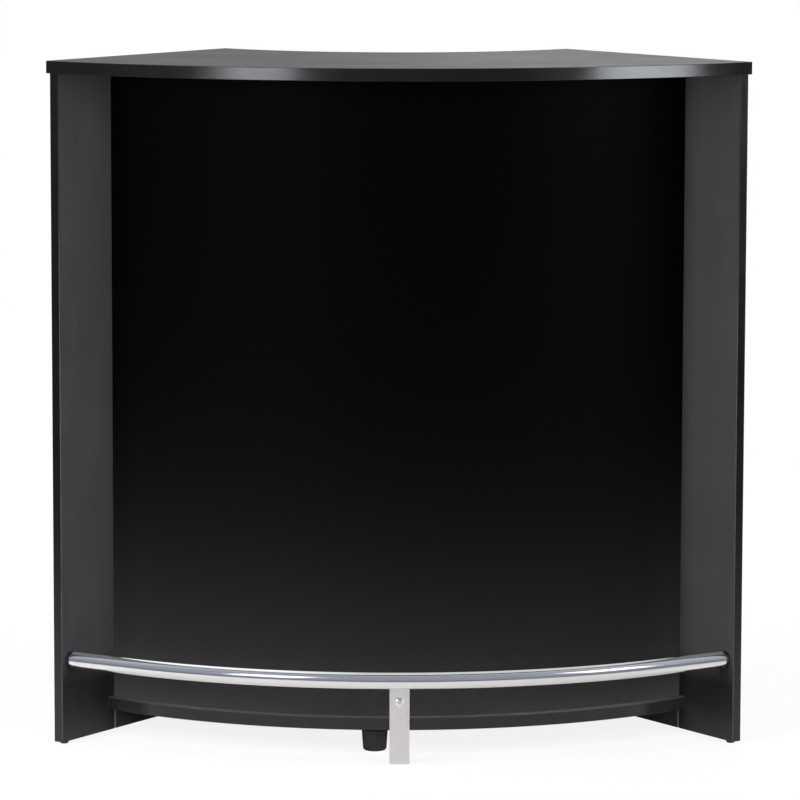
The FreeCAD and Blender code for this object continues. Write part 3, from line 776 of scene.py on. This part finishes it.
def makeFloor():
    finish = bpy.data.materials.new("studioFloor")
    tree = bareTree(finish)
    length = tree.nodes.new("ShaderNodeVectorMath")
    length.operation = "LENGTH"
    feed(tree, length.inputs[0], objectCoords(tree))
    far = length.outputs["Value"]
    ray = tree.nodes.new("ShaderNodeLightPath").outputs
    glow = tree.nodes.new("ShaderNodeEmission")
    cloth = tree.nodes.new("ShaderNodeBsdfDiffuse")
    # in a mirror the floor dims as 1 / (1 + (distance / reach) to a power), and its bounce is held low
    drop = maths(tree, "POWER", maths(tree, "DIVIDE", far, stage["shineReach"]), stage["shinePower"])
    bright = maths(tree, "DIVIDE", 1.0, maths(tree, "ADD", drop, 1.0))
    dimmed = blendColours(tree, bright, grey(0.0), grey(stage["shine"], stage["shineWarm"]))
    seen = blendColours(tree, ray["Is Glossy Ray"], grey(stage["albedo"]), dimmed)
    feed(tree, cloth.inputs["Color"], blendColours(tree, ray["Is Diffuse Ray"], seen, grey(stage["bounce"])))
    # the camera sees mostly the glow, and enough of the lit floor near the counter to keep its shadow
    near = remap(tree, far, *stage["shadowReach"], 1 - stage["shadowShare"], 1)
    mix = tree.nodes.new("ShaderNodeMixShader")
    feed(tree, mix.inputs[0], product(tree, ray["Is Camera Ray"], near))
    tree.links.new(cloth.outputs[0], mix.inputs[1])
    tree.links.new(glow.outputs[0], mix.inputs[2])
    showShader(tree, mix.outputs[0])
    # a flat disc: x = r cos a, y = r sin a, with r growing as the square of the ring
    r = stage["radius"] * np.linspace(0, 1, stage["rings"])[:, None] ** 2
    a = np.linspace(0, 2 * np.pi, stage["sectors"], endpoint=False)[None, :]
    points = np.stack([r * np.cos(a), r * np.sin(a), 0 * r * a], -1)
    mesh = newMesh("studioFloor", points, gridFaces(*points.shape[:2]))
    mesh.materials.append(finish)
    addObject("studioFloor", mesh)


makeFloor()

# World: white to the camera. In a mirror it is pale behind the counter, and dimmer and cooler before it.

room = dict(shown=(1, 1, 1, 1), fill=(0.34, 0.34, 0.34, 1), back=(0.60, 0.615, 0.63, 1), turn=(-0.35, 0.25),
            low=(0.20, 0.21, 0.27, 1), high=(0.31, 0.34, 0.42, 1), rise=(0.0, 0.5))


def makeRoom():
    world = bpy.data.worlds.new("studioRoom")
    tree = bareTree(world)
    x, y, z = axesOf(tree, tree.nodes.new("ShaderNodeTexCoord").outputs["Generated"])
    ray = tree.nodes.new("ShaderNodeLightPath").outputs
    ahead = blendColours(tree, remap(tree, z, *room["rise"], 0, 1), room["low"], room["high"])
    mirrored = blendColours(tree, remap(tree, y, *room["turn"], 0, 1), ahead, room["back"])
    lit = blendColours(tree, ray["Is Diffuse Ray"], mirrored, room["fill"])
    shown = blendColours(tree, ray["Is Camera Ray"], lit, room["shown"])
    light = tree.nodes.new("ShaderNodeBackground")
    feed(tree, light.inputs["Color"], shown)
    showShader(tree, light.outputs[0], "ShaderNodeOutputWorld")
    scene.world = world


makeRoom()

# Bounce cards: a curved strip before the front panel, brighter to the left, and a dim strip before each side
# panel. Reflections in the rail alone show them, and they keep its crown from going black.
# Strip: x = r sin t, y = arcY - r cos t, for each angle t along it and each height z.

card = dict(ahead=0.012, low=0.165, high=0.62, half=math.radians(38), along=40, glow=(1.15, 0.72),
            glowTurn=(-0.20, -0.06), tint=(1, 1, 1, 1))
wing = dict(off=0.004, start=0.700, end=0.800, low=0.14, high=0.62, glow=0.14, tint=(0.86, 0.95, 1.0, 1))


def showIn(light, piece, state):
    # keeps a light to one piece, or keeps one piece out of it
    group = bpy.data.collections.new(light.name + "Shows")
    group.objects.link(bpy.data.objects[piece])
    group.collection_objects[0].light_linking.link_state = state
    light.light_linking.receiver_collection = group


def makeCard(name, points, glow, tint):
    finish = bpy.data.materials.new(name)
    tree = bareTree(finish)
    shine = tree.nodes.new("ShaderNodeEmission")
    shine.inputs["Color"].default_value = tint
    x, y, z = axesOf(tree, objectCoords(tree))
    feed(tree, shine.inputs["Strength"], remap(tree, x, *card["glowTurn"], *glow))
    both = tree.nodes.new("ShaderNodeAddShader")  # other pieces look through it
    tree.links.new(shine.outputs[0], both.inputs[0])
    tree.links.new(tree.nodes.new("ShaderNodeBsdfTransparent").outputs[0], both.inputs[1])
    showShader(tree, both.outputs[0])
    mesh = newMesh(name, points, gridFaces(*points.shape[:2], wrapCols=False))
    mesh.materials.append(finish)
    strip = addObject(name, mesh)
    strip.visible_camera = strip.visible_diffuse = strip.visible_shadow = False
    showIn(strip, "footRail", "INCLUDE")


def makeCards():
    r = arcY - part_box("front_panel")[0].y + card["ahead"]
    t = np.linspace(-card["half"], card["half"], card["along"])[None, :]
    z = np.array([card["low"], card["high"]])[:, None]
    points = np.stack([r * np.sin(t) + 0 * z, arcY - r * np.cos(t) + 0 * z, z + 0 * t], -1)
    makeCard("bounceCard", points, card["glow"], card["tint"])
    out = plan["panelIn"] - wing["off"]
    ends, levels = (wing["start"], wing["end"]), (wing["low"], wing["high"])
    for side, name in zip(sides, ("leftWing", "rightWing")):
        corners = [[sidePoint(side, along, out, level) for along in ends] for level in levels]
        makeCard(name, np.array(corners), (wing["glow"], wing["glow"]), wing["tint"])


makeCards()
print("floor, room and cards made")

# Soft lights: the boxes and the glow show in reflections alone, two of the boxes in the rail and two in
# everything but the rail. The fills and the overhead light the counter and stay out of reflections.

cool = (0.92, 0.96, 1.0)
white = (1.0, 1.0, 1.0)
softLights = [
    dict(name="rightBox", place=(2.52, -1.61, 1.10), aim=(0, 0, 1.0),
         wide=1.24, tall=0.9, power=37, tint=cool, spreads=False, rail="EXCLUDE"),
    dict(name="leftBox", place=(-1.66, -2.65, 1.10), aim=(0, 0, 1.0),
         wide=0.92, tall=0.9, power=20, tint=cool, spreads=False, rail="EXCLUDE"),
    dict(name="railRightBox", place=(2.44, -1.51, 2.10), aim=(0.335, -0.16, 0.13),
         wide=1.05, tall=1.2, power=7.2, tint=cool, spreads=False, rail="INCLUDE"),
    dict(name="railLeftBox", place=(-1.80, -2.76, 2.35), aim=(-0.19, -0.23, 0.13),
         wide=1.1, tall=1.7, power=9.8, tint=cool, spreads=False, rail="INCLUDE"),
    dict(name="rightFill", place=(2.2, -2.5, 1.15), aim=(0, 0, 0.7),
         wide=1.5, tall=1.5, power=75, mirrored=False),
    dict(name="leftFill", place=(-1.62, -1.48, 1.05), aim=(0.2, 0, 0.8),
         wide=1.2, tall=0.9, power=52, mirrored=False),
    dict(name="frontFill", place=(0.0, -5.2, 1.25), aim=(0, 0, 0.6),
         wide=2.6, tall=1.8, power=40, mirrored=False),
    dict(name="overhead", place=(0.0, -1.25, 3.3), aim=(0, -0.25, 0.2),
         wide=4.5, tall=0.8, power=50, mirrored=False),
    dict(name="backFill", place=(1.2, 4.0, 2.2), aim=(0, 0, 0.6),
         wide=2.5, tall=2.0, power=60, mirrored=False),
    dict(name="nicheFill", place=(0.0, 3.2, 0.75), aim=(0, 0, 0.55),
         wide=1.6, tall=0.9, power=85, mirrored=False),
    dict(name="backGlow", place=(1.25, 3.8, 2.15), aim=(0, 0, 0.6),
         wide=2.5, tall=2.0, power=9.5, spreads=False),
]


def aimAt(item, place, aim, roll=0.0):
    way = Vector(aim) - Vector(place)
    turn = way.to_track_quat("-Z", "Y").to_matrix() @ Matrix.Rotation(roll, 3, "Z")
    item.matrix_world = Matrix.Translation(Vector(place)) @ turn.to_4x4()


for soft in softLights:
    lamp = bpy.data.lights.new(soft["name"], "AREA")
    lamp.shape = "RECTANGLE"
    lamp.size, lamp.size_y = soft["wide"], soft["tall"]
    lamp.energy = soft["power"]
    lamp.color = soft.get("tint", white)
    holder = addObject(soft["name"], lamp)
    aimAt(holder, soft["place"], soft["aim"])
    holder.visible_camera = False
    holder.visible_glossy = soft.get("mirrored", True)
    holder.visible_diffuse = soft.get("spreads", True)
    if "rail" in soft:
        showIn(holder, "footRail", soft["rail"])
print("stage lit by", len(softLights), "soft lights")

# Camera at the photo's angle: a long lens a little left of the middle, looking slightly down

photoView = dict(place=(-0.1066, -6.70, 1.4102), aim=(0.0032, 0.0, 0.5832), roll=math.radians(0.147),
                 lens=197.2, sensor=36.0, shiftY=-0.05, clip=200.0)
cameraData = bpy.data.cameras.new("photoCamera")
cameraData.lens = photoView["lens"]
cameraData.sensor_width = photoView["sensor"]
cameraData.shift_y = photoView["shiftY"]
cameraData.clip_end = photoView["clip"]
camera = addObject("photoCamera", cameraData)
aimAt(camera, photoView["place"], photoView["aim"], photoView["roll"])
scene.camera = camera
scene.view_settings.view_transform = "Standard"
